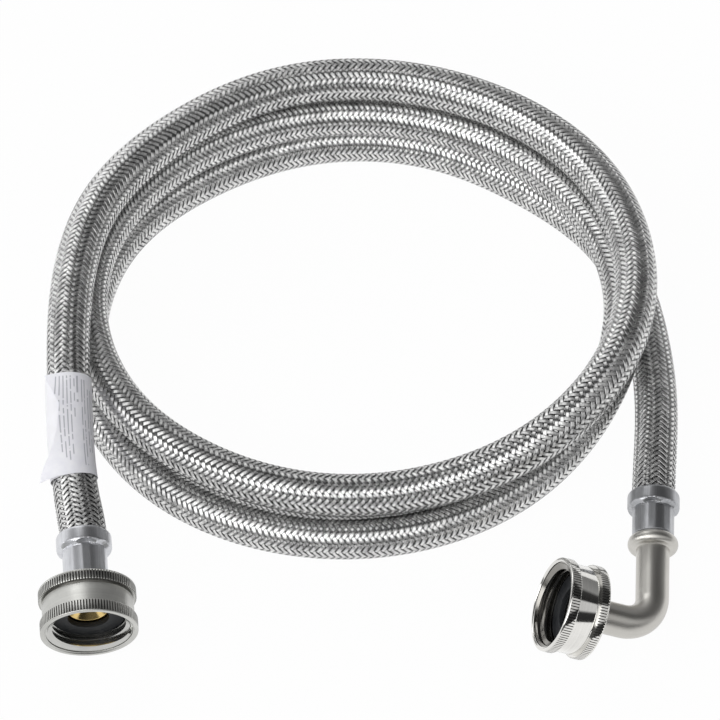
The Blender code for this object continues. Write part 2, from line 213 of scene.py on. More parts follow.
def hoseFrames(step=0.0005):
    # Centre, side and up at even steps along the hose, carried on without twist
    straightAxis = [straightPlace @ Vector((0, 0, z)) for z in hose["straightStations"]]
    elbowAxis = [elbowNeckPlace @ Vector((0, 0, z)) for z in hose["elbowStations"]]
    route = [tuple(p) for p in straightAxis] + hose["route"] + [tuple(p) for p in elbowAxis]
    line = smoothLine(route, 12000)
    run = np.concatenate([[0.0], np.cumsum(np.linalg.norm(np.diff(line, axis=0), axis=1))])
    marks = np.linspace(0, run[-1], int(run[-1] / step) + 1)
    centre = np.stack([np.interp(marks, run, line[:, i]) for i in range(3)], axis=1)
    ahead = np.gradient(centre, axis=0)
    ahead /= np.linalg.norm(ahead, axis=1)[:, None]
    side = np.empty_like(ahead)
    side[0] = np.cross(ahead[0], (0, 0, 1))
    side[0] /= np.linalg.norm(side[0])
    for i in range(1, len(ahead)):
        side[i] = side[i - 1] - ahead[i] * np.dot(side[i - 1], ahead[i])
        side[i] /= np.linalg.norm(side[i])
    return marks, centre, side, np.cross(side, ahead), run[-1]


marks, centreLine, sideLine, upLine, hoseLength = hoseFrames()
print("hose length", round(hoseLength, 4))


def hoseRadius(s):
    # The hose is swollen at the straight ferrule's mouth and even from there on
    opened, even = hose["radius"] + hose["swell"], hose["radius"]
    start = hose["straightMouth"]
    stations = [0, start, start + 0.3 * hose["swellLength"], start + hose["swellLength"]]
    radii = [opened, opened, opened, even]
    return np.interp(s, stations, radii)


def onHose(s, angle, radius):
    centre = np.stack([np.interp(s, marks, centreLine[:, i]) for i in range(3)], axis=-1)
    side = np.stack([np.interp(s, marks, sideLine[:, i]) for i in range(3)], axis=-1)
    up = np.stack([np.interp(s, marks, upLine[:, i]) for i in range(3)], axis=-1)
    reach = np.asarray(radius)[..., None]
    return centre + reach * (np.cos(angle)[..., None] * side + np.sin(angle)[..., None] * up)


def gridMesh(name, place, uv, wrapAcross, capEnds):
    # A mesh from rows of points: strands x along x across
    strands, along, across = place.shape[:3]
    index = np.arange(strands * along * across).reshape(strands, along, across)
    right = np.roll(index, -1, axis=2) if wrapAcross else index[:, :, 1:]
    left = index if wrapAcross else index[:, :, :-1]
    quads = np.stack([left[:, :-1], right[:, :-1], right[:, 1:], left[:, 1:]], axis=-1)
    quads = quads.reshape(-1, 4)
    if capEnds:
        quads = np.concatenate([quads, index[:, 0, ::-1], index[:, -1]])
    mesh = bpy.data.meshes.new(name)
    mesh.vertices.add(index.size)
    mesh.vertices.foreach_set("co", place.reshape(-1))
    mesh.loops.add(quads.size)
    mesh.loops.foreach_set("vertex_index", quads.reshape(-1).astype(np.int32))
    mesh.polygons.add(len(quads))
    mesh.polygons.foreach_set("loop_start", np.arange(0, quads.size, quads.shape[1], dtype=np.int32))
    mesh.update(calc_edges=True)
    layer = mesh.uv_layers.new(name="UVMap")
    layer.data.foreach_set("uv", uv.reshape(-1, 2)[quads.reshape(-1)].reshape(-1).astype(np.float32))
    obj = bpy.data.objects.new(name, mesh)
    bpy.context.scene.collection.objects.link(obj)
    return obj


# Material building blocks
class Look:
    # A small wrapper that adds and joins nodes of one material

    def __init__(self, name):
        self.material = bpy.data.materials.new(name)
        self.material.use_nodes = True
        self.tree = self.material.node_tree
        self.shader = self.tree.nodes["Principled BSDF"]

    def node(self, kind, **settings):
        made = self.tree.nodes.new(kind)
        for key, value in settings.items():
            setattr(made, key, value)
        return made

    def join(self, output, target):
        self.tree.links.new(output, target)

    def value(self, socket, number):
        self.shader.inputs[socket].default_value = number

    def math(self, kind, first, second=None, third=None):
        made = self.node("ShaderNodeMath", operation=kind)
        for slot, item in enumerate((first, second, third)):
            if item is None:
                continue
            if isinstance(item, (int, float)):
                made.inputs[slot].default_value = item
            else:
                self.join(item, made.inputs[slot])
        return made.outputs[0]

    def ramp(self, factor, stops):
        made = self.node("ShaderNodeValToRGB")
        line = made.color_ramp
        while len(line.elements) < len(stops):
            line.elements.new(0.5)
        for element, (where, colour) in zip(line.elements, stops):
            element.position = where
            element.color = (*colour, 1)
        self.join(factor, made.inputs[0])
        return made.outputs[0]

    def local(self, place=None):
        # Object coordinates, turned into a fitting's own axes where a place is given
        coordinates = self.node("ShaderNodeTexCoord").outputs["Object"]
        if place is None:
            return coordinates
        back = place.inverted()
        mapping = self.node("ShaderNodeMapping")
        mapping.inputs["Location"].default_value = back.to_translation()
        mapping.inputs["Rotation"].default_value = back.to_euler()
        self.join(coordinates, mapping.inputs["Vector"])
        return mapping.outputs[0]

    def stretch(self, vector, scale):
        mapping = self.node("ShaderNodeMapping")
        mapping.inputs["Scale"].default_value = scale
        self.join(vector, mapping.inputs["Vector"])
        return mapping.outputs[0]

    def noise(self, vector, scale, detail=3.0, roughness=0.5):
        made = self.node("ShaderNodeTexNoise")
        made.inputs["Scale"].default_value = scale
        made.inputs["Detail"].default_value = detail
        made.inputs["Roughness"].default_value = roughness
        self.join(vector, made.inputs["Vector"])
        return made.outputs["Fac"]

    def split(self, vector):
        made = self.node("ShaderNodeSeparateXYZ")
        self.join(vector, made.inputs[0])
        return made.outputs

    def colour(self, output):
        self.join(output, self.shader.inputs["Base Color"])

    def roughness(self, factor, low, high):
        made = self.node("ShaderNodeMapRange")
        made.inputs["To Min"].default_value = low
        made.inputs["To Max"].default_value = high
        self.join(factor, made.inputs["Value"])
        self.join(made.outputs[0], self.shader.inputs["Roughness"])

    def bump(self, height, strength, distance):
        made = self.node("ShaderNodeBump")
        made.inputs["Strength"].default_value = strength
        made.inputs["Distance"].default_value = distance
        self.join(height, made.inputs["Height"])
        previous = self.shader.inputs["Normal"].links
        if previous:
            self.join(previous[0].from_socket, made.inputs["Normal"])
        self.join(made.outputs[0], self.shader.inputs["Normal"])


def metalLook(name, place, colour, rough, marks=60.0, markDepth=0.00001, along=False, darkened=0.75):
    # Plated metal with turning marks round its axis, or drawn lines along it
    look = Look(name)
    look.value("Metallic", 1.0)
    local = look.local(place)
    x, y, z = look.split(local)
    if along:
        angle = look.math("ARCTAN2", y, x)
        line = look.node("ShaderNodeCombineXYZ")
        look.join(angle, line.inputs[0])
        look.join(look.math("MULTIPLY", z, 4.0), line.inputs[1])
        lines = look.noise(line.outputs[0], marks, 2.0, 0.5)
    else:
        lines = look.noise(look.stretch(local, (12, 12, 900)), marks / 60.0, 4.0, 0.6)
    cloud = look.noise(local, 90.0, 4.0, 0.6)
    mixed = look.math("ADD", look.math("MULTIPLY", lines, 0.45), look.math("MULTIPLY", cloud, 0.55))
    darker = tuple(c * darkened for c in colour)
    look.colour(look.ramp(mixed, [(0.3, darker), (0.62, colour)]))
    look.roughness(mixed, rough * 1.35, rough * 0.7)
    look.bump(lines, 0.3, markDepth)
    look.bump(cloud, 0.10, 0.00002)
    return look.material


# Hose: dark core and woven wire
braid = {
    "strands": 16, "columns": 8, "width": 0.00142, "thick": 0.00013, "lift": 0.00019, "wires": 5,
    "float": 1.9, "openAtEnds": 0.2, "openLength": 0.03,
    "pitch": [(0.0, 1.98), (0.18, 2.03), (0.24, 2.12), (0.32, 2.0), (0.42, 2.05), (0.49, 2.46),
              (0.54, 2.30), (0.62, 2.02), (0.75, 1.93), (0.90, 2.05), (1.6, 2.0)],
}


def addCore():
    s = np.linspace(0.0, hoseLength, 640)
    angle = np.linspace(0, 2 * pi, 24, endpoint=False)
    grid = onHose(s[:, None] + 0 * angle, angle[None, :] + 0 * s[:, None],
                  (hoseRadius(s) - hose["underside"])[:, None] + 0 * angle)
    uv = np.stack([angle[None, :] / (2 * pi) + 0 * s[:, None], s[:, None] + 0 * angle], axis=-1)
    return closeUp(gridMesh("hoseCore", grid[None], uv[None], True, False), 0)


def weaveTurn():
    # How far the weave has turned round the hose at each place along it
    where, pitch = np.array(braid["pitch"]).T
    s = np.linspace(0.0, hoseLength, 8000)
    rate = 2 * pi / (braid["strands"] * np.interp(s, where, pitch) * 0.001)
    turn = np.concatenate([[0.0], np.cumsum(0.5 * (rate[1:] + rate[:-1]) * np.diff(s))])
    return s, turn, rate


def addPlaits(name, first, count, way):
    # Flat plaits of parallel wires: each floats over two and dives under two, three steps to a float
    along, turn, rate = weaveTurn()
    startsAt = hose["straightMouth"] - hose["tuckedIn"]
    endsAt = hoseLength - hose["elbowMouth"] + hose["tuckedIn"]
    start, end = np.interp([startsAt, endsAt], along, turn)
    step = radians(60.0 / braid["columns"])
    phase = -way * radians(15.0 / braid["columns"])
    weaveMarks = np.arange(np.ceil((start - phase) / step), np.floor((end - phase) / step) + 1) * step + phase
    s = np.repeat(np.interp(weaveMarks, turn, along)[None], count, axis=0)
    strand = np.arange(first, first + count)[:, None]
    angle = way * weaveMarks[None] + strand * 2 * pi / braid["strands"]
    wave = np.clip(braid["float"] * np.sin(braid["columns"] * angle + pi / 4), -1, 1)
    middle = hoseRadius(s) - braid["lift"] - braid["thick"] + way * braid["lift"] * wave
    slant = np.arctan(1 / (np.interp(s, along, rate) * hoseRadius(s)))
    fromEnd = np.minimum(s - hose["straightMouth"], hoseLength - hose["elbowMouth"] - s)
    opened = np.exp(-np.maximum(fromEnd, 0) / braid["openLength"])
    width = braid["width"] * (1 - braid["openAtEnds"] * opened)
    rows = []
    for reach, height in ((-1, -0.1), (-0.78, 1.0), (0.78, 1.0), (1, -0.1), (0, -1.0)):  # a plait's section
        across = reach * 0.5 * width
        rows.append(onHose(s - across * np.cos(slant), angle + way * across * np.sin(slant) / middle,
                           middle + height * braid["thick"]))
    place = np.stack(rows, axis=2)
    uv = np.stack([np.broadcast_to(np.array([0.0, 0.11, 0.89, 1.0, 0.5]), place.shape[:3]),
                   np.broadcast_to((s + 0.37 * strand)[:, :, None] * 100, place.shape[:3])], axis=-1)
    return gridMesh(name, place, uv, True, False)


def braidLook(name):
    look = Look(name)
    look.value("Metallic", 1.0)
    uv = look.node("ShaderNodeUVMap", uv_map="UVMap").outputs[0]
    x = look.split(uv)[0]
    wires = look.math("ABSOLUTE", look.math("SINE", look.math("MULTIPLY", x, pi * braid["wires"])))  # round backs
    # Painted shade: each plait's colour is darkened towards both of its edges, down to near black, where it dips
    # beside its neighbours
    edge = look.math("MULTIPLY", look.math("MULTIPLY", x, look.math("SUBTRACT", 1.0, x)), 4.0)
    streak = look.noise(look.stretch(uv, (9.0, 1.6, 1.0)), 1.0, 2.0, 0.6)
    cloud = look.noise(look.local(), 260.0, 3.0, 0.6)
    tone = look.math("ADD", look.math("MULTIPLY", streak, 0.5), look.math("MULTIPLY", cloud, 0.5))
    tone = look.math("MULTIPLY", tone, look.math("POWER", edge, 0.35))
    look.colour(look.ramp(tone, [(0.10, (0.02, 0.02, 0.022)), (0.34, (0.42, 0.42, 0.42)),
                                 (0.62, (0.90, 0.90, 0.89))]))
    look.roughness(cloud, 0.13, 0.24)
    look.bump(wires, 0.36, 0.00008)
    return look.material


def rubberLook(name, colour):
    look = Look(name)
    cloud = look.noise(look.local(), 300.0, 3.0)
    look.colour(look.ramp(cloud, [(0.3, tuple(c * 0.7 for c in colour)), (0.7, colour)]))
    look.roughness(cloud, 0.45, 0.65)
    look.bump(cloud, 0.3, 0.0001)
    return look.material


core = addCore()
shade(core, rubberLook("hoseUnderside", (0.012, 0.012, 0.013)))
wireLook = braidLook("braidWire")
plaits = []
halfCount = braid["strands"] // 2  # each way's plaits are shared between two pieces
for way, title in ((1, "Right"), (-1, "Left")):
    for half in range(2):
        piece = closeUp(addPlaits(f"braid{title}{half + 1}", half * halfCount, halfCount, way), 6)
        plaits.append(shade(piece, wireLook, 38))
print("braid woven", sum(len(p.data.polygons) for p in plaits))


# Swivel nuts
nut = {"thread": 0.0136, "bandDepth": 0.0010, "backRound": 0.0004, "grooveWidth": 0.0007,
       "ribs": 104, "ribDepth": 0.00038, "threadStart": 0.0011, "pitch": 0.00221, "threadDepth": 0.0013}
straightNutSize = {"radius": 0.0163, "length": 0.0157, "frontRing": 0.0044, "backRing": 0.0037,
                   "backWall": 0.0043, "backHole": 0.0079, "frontRound": 0.0004, "mouthWidth": 0.0014,
                   "mouthDepth": 0.0014, "grooveDepth": 0.0009, "perRib": 4, "threadTurns": 2.6}
elbowNutSize = {"radius": 0.0159, "length": 0.0142, "frontRing": 0.0036, "backRing": 0.0031,
                "backWall": 0.0025, "backHole": 0.0060, "frontRound": 0.0005, "mouthWidth": 0.0014,
                "mouthDepth": 0.0012, "grooveDepth": 0.0002, "perRib": 6, "threadTurns": 2.9}


def addNut(name, size, plating, threadLook, place):
    top, length = size["radius"], size["length"]
    band = top - nut["bandDepth"]
    groove = band - size["grooveDepth"]
    ringStart, ringEnd = length - size["backRing"], size["frontRing"]
    back, front, thread = nut["backRound"], size["frontRound"], nut["thread"]
    inside, hole = length - size["backWall"], size["backHole"]
    profile = bend((top - back, length - back), back, 90, 0, 5)
    profile += [(top, length - back - 0.00025), (top, ringStart + 0.0003), (top - 0.00015, ringStart)]
    grooveEnd = ringStart - nut["grooveWidth"]
    profile += [(groove, ringStart - 0.00002), (groove, grooveEnd)]
    profile += [(band - 0.0001, grooveEnd - 0.0001), (band, grooveEnd - 0.0003)]
    profile += [(band, ringEnd + 0.0005), (band + 0.0001, ringEnd + 0.0002), (top - 0.00015, ringEnd)]
    profile += [(top, ringEnd - 0.0003), (top, front + 0.0002)]
    profile += bend((top - front, front), front, 0, -90, 6)
    wide, deep = size["mouthWidth"], size["mouthDepth"]
    profile += [(thread + wide, 0.0), (thread + 0.92 * wide, 0.0001), (thread + 0.72 * wide, 0.25 * deep)]
    profile += [(thread + 0.62 * wide, 0.3 * deep), (thread + 0.55 * wide, 0.62 * deep)]
    profile += [(thread + 0.15 * wide, 0.8 * deep), (thread, deep)]
    profile += [(thread, inside - 0.0003), (thread - 0.0003, inside), (hole + 0.0002, inside)]
    profile += [(hole, inside + 0.0002), (hole, length - 0.0003), (hole + 0.0003, length)]
    sides = size["perRib"] * nut["ribs"]
    obj = turnByHand(name, profile, sides)
    spot = points(obj)
    radius, height = np.hypot(spot[:, 0], spot[:, 1]), spot[:, 2]
    turn = np.round(np.arctan2(spot[:, 1], spot[:, 0]) / (2 * pi) * sides).astype(int) % size["perRib"]
    frontRibs = (height > front + 0.0001) & (height < ringEnd + 0.00005)
    backRibs = (height > ringStart - 0.00001) & (height < length - back - 0.0001)
    low = (radius > top - 0.0002) & (frontRibs | backRibs) & (turn == size["perRib"] - 1)
    spot[low, :2] *= ((radius[low] - nut["ribDepth"]) / radius[low])[:, None]
    setPoints(obj, spot)
    shade(obj, plating)
    obj.data.materials.append(recessShadeLook)
    obj.data.materials.append(threadLook)
    # Painted shade: the groove, the bore and the valleys between ribs take a dark copy of the metal, and the
    # mouth's inner bevel takes the threads' material
    inGroove = (radius < band - 0.0005) & (radius > thread + 0.0002) & (height > ringEnd)
    inBore = (radius < thread + 0.0001) & (height > deep - 0.0001) & (height < inside + 0.0004)
    darkened = low | inGroove | inBore
    for face in obj.data.polygons:
        if all(darkened[v] for v in face.vertices) or sum(low[v] for v in face.vertices) == 2:
            face.material_index = 1
        elif all(radius[v] < thread + 0.66 * wide and height[v] < deep + 0.0001 for v in face.vertices):
            face.material_index = 2
    return settle(obj, place)


def addThread(name, turns, place):
    # A ridge wound inside the bore, fading out at each end
    t = np.linspace(0, turns * 2 * pi, int(60 * turns))
    z = nut["threadStart"] + t / (2 * pi) * nut["pitch"]
    fade = np.clip(np.minimum(t, t[-1] - t) / 1.2, 0.02, 1)
    outer, crest = nut["thread"] + 0.0003, nut["thread"] - nut["threadDepth"] * fade
    rows = []
    for radius, shift in ((outer, -0.5), (crest, -0.09), (crest, 0.09), (outer, 0.5)):
        radius = radius + 0 * t
        rows.append(np.stack([radius * np.cos(t), radius * np.sin(t), z + shift * 0.94 * nut["pitch"]], axis=-1))
    grid = np.stack(rows, axis=1)[None]
    obj = gridMesh(name, grid, np.zeros(grid.shape[:3] + (2,)), True, True)
    return settle(closeUp(obj), place)


platingStraight = metalLook("straightNutPlating", straightPlace, (0.62, 0.62, 0.595), 0.33)
platingElbow = metalLook("elbowNutPlating", elbowNutPlace, (0.84, 0.83, 0.80), 0.085, markDepth=0.000004)
# A dark copy of the nut metal, painted shade for the grooves, bores and rib valleys of both nuts
recessShadeLook = metalLook("nutRecessPaintedShade", straightPlace, (0.25, 0.245, 0.235), 0.30)
threadsStraight = metalLook("straightNutThreads", straightPlace, (0.58, 0.58, 0.56), 0.18)
# Painted shade: the elbow nut's threads and mouth bevel get a much darker copy of its plating, for the dark inside
# of the nut
shadedThreadsElbow = metalLook("elbowNutThreadsPaintedShade", elbowNutPlace, (0.30, 0.29, 0.27), 0.16)
straightNut = addNut("straightSwivelNut", straightNutSize, platingStraight, threadsStraight, straightPlace)
elbowNut = addNut("elbowSwivelNut", elbowNutSize, platingElbow, shadedThreadsElbow, elbowNutPlace)
straightThread = addThread("straightNutThread", straightNutSize["threadTurns"], straightPlace)
elbowThread = addThread("elbowNutThread", elbowNutSize["threadTurns"], elbowNutPlace)
shade(straightThread, threadsStraight)
shade(elbowThread, shadedThreadsElbow)
print("nuts knurled and threaded")


# Washers, insert and elbow flange
seal = {"radius": 0.0122, "hole": 0.0068, "thickness": 0.0021, "edge": 0.0003, "gap": 0.0003, "flange": 0.0030}


def addWasher(name, seat, place):
    w = seal
    high = seat - w["flange"] - w["gap"]
    low, e = high - w["thickness"], w["edge"]
    profile = [(w["radius"] - e, high), (w["radius"], high - e), (w["radius"], low + e), (w["radius"] - e, low),
               (w["radius"] * 0.80, low + 0.0001), (w["hole"] + 2 * e, low), (w["hole"] + 0.4 * e, low + 0.4 * e),
               (w["hole"], low + 2 * e), (w["hole"], high - e), (w["hole"] + e, high)]
    return settle(turnByHand(name, profile, 96), place)


def addInsert(name, seat, place):
    # Flange with a rounded funnel, and a long blind bore in the stem
    front, e = seat - seal["flange"], seal["edge"]
    profile = [(0.0036, 0.0300), (0.0036, seat), (seal["radius"] - e, seat), (seal["radius"], seat - e),
               (seal["radius"], front + e), (seal["radius"] - e, front), (0.0064, front)]
    profile += bend((0.0064, front + 0.0004), 0.0004, -90, -140, 4)[1:]
    profile += [(0.0050, front + 0.0013), (0.0040, front + 0.0022), (0.0033, front + 0.0030),
                (0.0030, front + 0.0040), (0.0029, front + 0.0055), (0.0029, 0.0300)]
    return settle(turnByHand(name, profile, 96), place)


def addFlange(name, seat, place):
    front, e = seat - seal["flange"], seal["edge"]
    profile = [(0.0052, seat), (seal["radius"] - e, seat), (seal["radius"], seat - e), (seal["radius"], front + e),
               (seal["radius"] - e, front), (0.0061, front), (0.0057, front + 0.0002), (0.0047, front + 0.0012),
               (0.0044, front + 0.0018), (0.0044, seat - 0.0003)]
    return settle(turnByHand(name, profile, 96), place)


washerLook = rubberLook("washerRubber", (0.010, 0.012, 0.015))
brassLook = metalLook("insertBrass", straightPlace, (0.86, 0.64, 0.27), 0.18)
flangeLook = metalLook("flangeNickel", elbowNutPlace, (0.45, 0.44, 0.42), 0.35)
straightWasher = shade(addWasher("straightSeal", fitting["straightSeat"], straightPlace), washerLook)
elbowWasher = shade(addWasher("elbowSeal", fitting["elbowSeat"], elbowNutPlace), washerLook)
straightInsert = shade(addInsert("straightBrassInsert", fitting["straightSeat"], straightPlace), brassLook)
elbowFlange = shade(addFlange("elbowTubeFlange", fitting["elbowSeat"], elbowNutPlace), flangeLook)


# Ferrules
ferrule = {"wall": 0.0008, "mouth": 0.0065, "roll": 0.00115, "rollDepth": 0.0011, "shoulder": 0.0021,
           "jaws": 8, "flat": 0.00011}
straightFerruleSize = {"radius": 0.0093, "neck": 0.0075, "neckLength": 0.0183, "turn": 0.30}
elbowFerruleSize = {"radius": 0.0088, "neck": 0.0071, "neckLength": 0.0099, "turn": 0.12}


def addFerrule(name, size, place):
    top, neck, neckLength = size["radius"], size["neck"], size["neckLength"]
    mouth = neckLength + ferrule["mouth"]
    shoulder = neckLength + ferrule["shoulder"]
    inner = top - ferrule["wall"]
    rolled = top - ferrule["rollDepth"]
    profile = [(rolled - 0.0003, mouth - 0.0003), (rolled - 0.0002, mouth - 0.00005)]
    for t in np.radians(np.linspace(90, 0, 11)):
        profile.append((top - ferrule["rollDepth"] * (1 - cos(t)), mouth - ferrule["roll"] * (1 - sin(t))))
    profile += [(top, mouth - 0.0020), (top, 0.5 * (mouth + shoulder) - 0.0004)]
    for t in np.radians(np.linspace(0, 86, 13)):
        profile.append((neck + (top - neck) * cos(t), shoulder - (shoulder - neckLength) * sin(t)))
    for share in (0.99, 0.96, 0.92, 0.7, 0.4, 0.12):
        profile.append((neck, share * neckLength))
    profile += [(neck, 0.0006), (neck - 0.0001, 0.0002), (neck - 0.0004, 0.0), (0.0041, 0.0), (0.0041, 0.0008)]
    profile += [(neck - ferrule["wall"], 0.0008), (neck - ferrule["wall"], neckLength), (inner, shoulder),
                (inner, mouth - 0.0014)]
    obj = turnByHand(name, profile, 160)
    spot = points(obj)
    radius, height = np.hypot(spot[:, 0], spot[:, 1]), spot[:, 2]
    angle = np.arctan2(spot[:, 1], spot[:, 0])
    part = 2 * pi / ferrule["jaws"]
    fold = (angle + size["turn"]) % part - part / 2
    land = (neck - ferrule["flat"]) / np.cos(fold)
    # The flats run out on the shoulder in a curved edge
    scallop = neckLength + 0.0008 * np.cos(fold * ferrule["jaws"] / 2)
    pressed = (height > 0.0009) & (height < shoulder) & (radius > neck - 0.0002)
    fade = np.clip((scallop + 0.0006 - height) / 0.0006, 0, 1)
    press = pressed & (radius > land)
    spot[press, :2] *= (1 - fade[press] * (1 - land[press] / radius[press]))[:, None]
    setPoints(obj, spot)
    return settle(obj, place)


straightNeckPlace = straightPlace @ Matrix.Translation((0, 0, fitting["straightNeck"]))
drawn = {"marks": 14.0, "markDepth": 0.00002, "along": True}
crimpStraight = metalLook("straightFerruleSteel", straightNeckPlace, (0.74, 0.75, 0.78), 0.33, darkened=0.7, **drawn)
crimpElbow = metalLook("elbowFerruleSteel", elbowNeckPlace, (0.54, 0.55, 0.57), 0.33, darkened=0.65, **drawn)
straightFerrule = addFerrule("straightCrimpedFerrule", straightFerruleSize, straightNeckPlace)
elbowFerrule = addFerrule("elbowCrimpedFerrule", elbowFerruleSize, elbowNeckPlace)
shade(straightFerrule, crimpStraight, 11)
shade(elbowFerrule, crimpElbow, 11)
print("ferrules crimped")


# Elbow tube
elbow = {"radius": 0.0056, "bore": 0.0045, "bendRadius": 0.0113, "bead": 0.0085, "beadLength": 0.0042,
         "beadCrown": 0.0015, "stem": 0.0034, "flattened": 0.015, "sides": 56}


def addElbow(name):
    # Rings swept down the hose leg, round the bend and along the nut leg, and back up the bore
    e = elbow
    top = fitting["elbowHoseLeg"] - 0.0003
    legRings = [(top + 0.004, e["stem"]), (top, e["stem"])]
    for turn in np.radians(np.linspace(90, -90, 25)):
        reach = e["bead"] - e["beadCrown"] * (1 - cos(turn))
        legRings.append((top - 0.5 * e["beadLength"] * (1 - sin(turn)), reach))
    low = top - e["beadLength"]
    legRings += [(low - 0.0001, e["radius"] + 0.0004), (low - 0.0003, e["radius"] + 0.0001)]
    legRings += [(low - 0.0008, e["radius"])]
    legRings += [(0.5 * (low + e["bendRadius"]), e["radius"]), (e["bendRadius"], e["radius"])]
    rings = [((0, y, 0), (0, -1, 0), r) for y, r in legRings]
    centre = np.array([-e["bendRadius"], e["bendRadius"], 0])
    for t in np.radians(np.linspace(0, 90, 25)[1:]):
        rings.append((tuple(centre + e["bendRadius"] * np.array([cos(t), -sin(t), 0])), (-sin(t), -cos(t), 0),
                      e["radius"] * (1 - e["flattened"] * sin(2 * t))))
    end = -(fitting["elbowNutLeg"] - fitting["elbowSeat"] + 0.0006)
    for x, r in ((0.5 * (end - e["bendRadius"]), e["radius"]), (end, e["radius"]),
                 (end, e["bore"]), (end + 0.009, e["bore"])):
        rings.append(((x, 0, 0), (-1, 0, 0), r))
    angle = np.linspace(0, 2 * pi, e["sides"], endpoint=False)
    rows = []
    for spot, ahead, r in rings:
        out = np.cross(ahead, (0, 0, 1))
        ring = np.cos(angle)[:, None] * out + np.sin(angle)[:, None] * np.array([0, 0, 1])
        rows.append(np.array(spot) + r * ring)
    grid = np.stack(rows)[None]
    obj = gridMesh(name, grid, np.zeros(grid.shape[:3] + (2,)), True, False)
    return settle(closeUp(obj, 0), elbowPlace)


nickelLook = metalLook("elbowNickel", elbowPlace, (0.62, 0.605, 0.57), 0.35, markDepth=0.000003, darkened=0.92)
elbowTube = shade(addElbow("elbowBentTube"), nickelLook, 30)
print("elbow bent")


# Paper label
label = {
    "start": 0.0444, "length": 0.0352, "first": 90.0, "gap": 0.0002, "thickness": 0.00012,
    "edgeLift": 0.0012, "cornerLift": 0.0022, "slack": 0.00035,
    "edge": [(0, 176), (0.1, 166), (0.22, 142), (0.45, 120), (0.7, 112), (0.85, 130), (1, 150)],
    "bars": [(122, 3, 26, 34), (113, 3, 8, 34), (104, 3, 6, 34), (95, 3, 5, 34), (86, 3, 7, 34), (77, 3, 20, 34),
             (69, 5, 24, 34), (57, 3, 3, 33), (49, 3, 3, 33), (38, 3, 8, 30), (28, 3, 8, 30)],
}


def addLabel(name):
    # One sheet rolled round the hose; its free edge lies over the start and lifts at the lower corner
    rows, columns = 28, 84
    v = np.linspace(0, 1, rows)[:, None] + np.zeros(columns)
    u = np.linspace(0, 1, columns)[None, :] + np.zeros((rows, 1))
    where, turn = np.array(label["edge"], float).T
    sweep = (360 + np.interp(v[:, 0], where, turn) - label["first"])[:, None]
    degrees = label["first"] + u * sweep
    angle = np.radians(degrees)
    s = label["start"] + v * label["length"]
    lift = 0.00032 * u * 400 / 360 + label["edgeLift"] * np.clip((u - 0.90) / 0.10, 0, 1) ** 2
    corner = np.clip((0.34 - v) / 0.34, 0, 1) ** 1.5 * np.clip((u - 0.84) / 0.16, 0, 1) ** 1.6
    loose = label["slack"] * np.maximum(0, np.cos(angle - radians(178))) ** 2
    radius = hoseRadius(s) + label["gap"] + lift + loose + label["cornerLift"] * corner
    uv = np.stack([(degrees - 360) * 0.01, v * label["length"] * 10], axis=-1)[None]
    obj = gridMesh(name, onHose(s, angle, radius)[None], uv, False, False)
    pick(obj)
    sheet = obj.modifiers.new("thickness", "SOLIDIFY")
    sheet.thickness = label["thickness"]
    sheet.offset = 1.0
    bpy.ops.object.modifier_apply(modifier=sheet.name)
    return obj


def paperLook(name):
    # Plain grey bars stand for print, placed by degrees round the hose and millimetres along it
    look = Look(name)
    cloud = look.noise(look.local(), 260.0, 4.0, 0.6)
    x, y = look.split(look.node("ShaderNodeUVMap", uv_map="UVMap").outputs[0])[:2]
    ink = None
    for turn, wide, low, high in label["bars"]:
        across = look.math("COMPARE", x, turn * 0.01, 0.5 * wide * 0.01)
        bar = look.math("MULTIPLY", across, look.math("COMPARE", y, (low + high) * 0.005, (high - low) * 0.005))
        ink = bar if ink is None else look.math("MAXIMUM", ink, bar)
    spot = look.node("ShaderNodeCombineXYZ")
    look.join(look.math("MULTIPLY", look.math("FLOOR", look.math("MULTIPLY", x, 12.0)), 3.7), spot.inputs[0])
    look.join(look.math("MULTIPLY", y, 40.0), spot.inputs[1])
    gaps = look.math("GREATER_THAN", look.noise(spot.outputs[0], 1.0, 1.0), 0.42)  # breaks the bars up
    fading = look.math("ADD", 0.3, look.math("MULTIPLY", cloud, 0.6))
    ink = look.math("MULTIPLY", look.math("MULTIPLY", ink, gaps), fading)
    # The sheet is drawn darker from 310 degrees round the hose onwards, over the outer turn, and lighter before it,
    # where the first turn shows past the free edge
    outer = look.math("MULTIPLY", look.math("GREATER_THAN", x, -0.5), 0.3)
    tone = look.math("SUBTRACT", look.math("SUBTRACT", look.math("ADD", cloud, 0.3), outer), ink)
    look.colour(look.ramp(tone, [(0.0, (0.52, 0.52, 0.57)), (0.3, (0.86, 0.86, 0.92)), (0.65, (0.93, 0.93, 0.97)),
                                 (0.85, (0.90, 0.90, 0.93))]))
    look.roughness(cloud, 0.42, 0.6)
    look.bump(cloud, 0.25, 0.00006)
    return look.material


paperLabel = shade(addLabel("paperLabel"), paperLook("labelPaper"), 60)
print("label wrapped")


# The inner tube keeps its own mesh and takes a rubber material
liner = bpy.data.objects.get("hose_liner")
if liner:
    liner.data.materials.clear()
    liner.data.materials.append(rubberLook("linerRubber", (0.05, 0.05, 0.055)))


